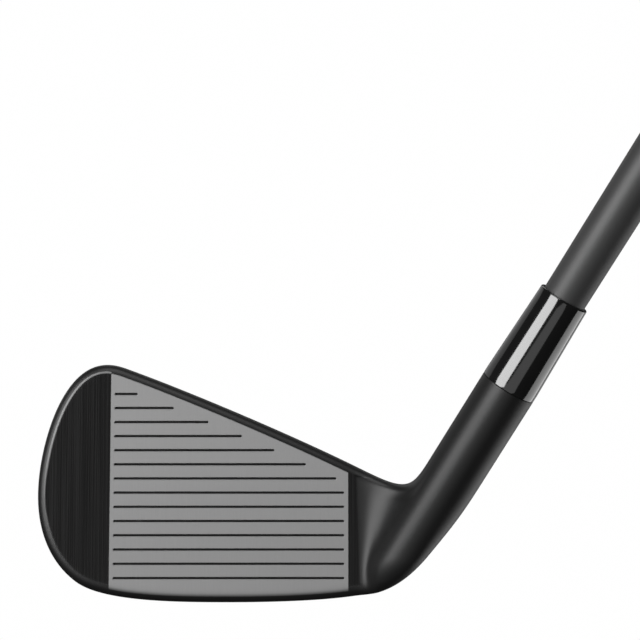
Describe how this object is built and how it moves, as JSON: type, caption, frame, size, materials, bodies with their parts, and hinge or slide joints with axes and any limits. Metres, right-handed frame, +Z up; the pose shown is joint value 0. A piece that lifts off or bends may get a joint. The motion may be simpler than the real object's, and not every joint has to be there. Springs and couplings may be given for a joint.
{
  "type": "golf iron",
  "caption": "Long iron golf club with a black hollow head, score-lined face, hosel, tapered ferrule, dark shaft and rubber grip.",
  "frame": {"origin": "middle of the small flat under the sole, on the ground line below the face centre", "axes": "+Z up with the club soled at address, +X from toe to heel and towards the side the shaft leans to, face towards -Y"},
  "size_m": [0.5829, 0.0343, 0.8633],
  "materials": {
    "black_head": "satin black coating, brushed at the toe",
    "blasted_steel": "blasted matt grey strike plate",
    "tungsten": "sintered, plain",
    "foam": "cured foam",
    "slot_rubber": "smooth matt",
    "screw_steel": "dark plated",
    "seal_rubber": "matt",
    "bond": "cured epoxy",
    "plug_brass": "turned",
    "ferrule_black": "polished black",
    "shaft_grey": "satin dark grey",
    "tape_cream": "double-sided tape",
    "grip_black": "moulded texture",
    "cap_black": "smooth moulded"
  },
  "bodies": {
    "root": {"head_body": "black_head", "face_plate": "blasted_steel", "toe_weight": "tungsten", "foam_core": "foam", "slot_insert": "slot_rubber", "port_screw": "screw_steel", "port_seal": "seal_rubber", "hosel_bond": "bond", "tip_weight": "plug_brass", "ferrule": "ferrule_black", "shaft": "shaft_grey", "grip_tape": "tape_cream", "grip_sleeve": "grip_black", "grip_cap": "cap_black"}
  },
  "joints": []
}
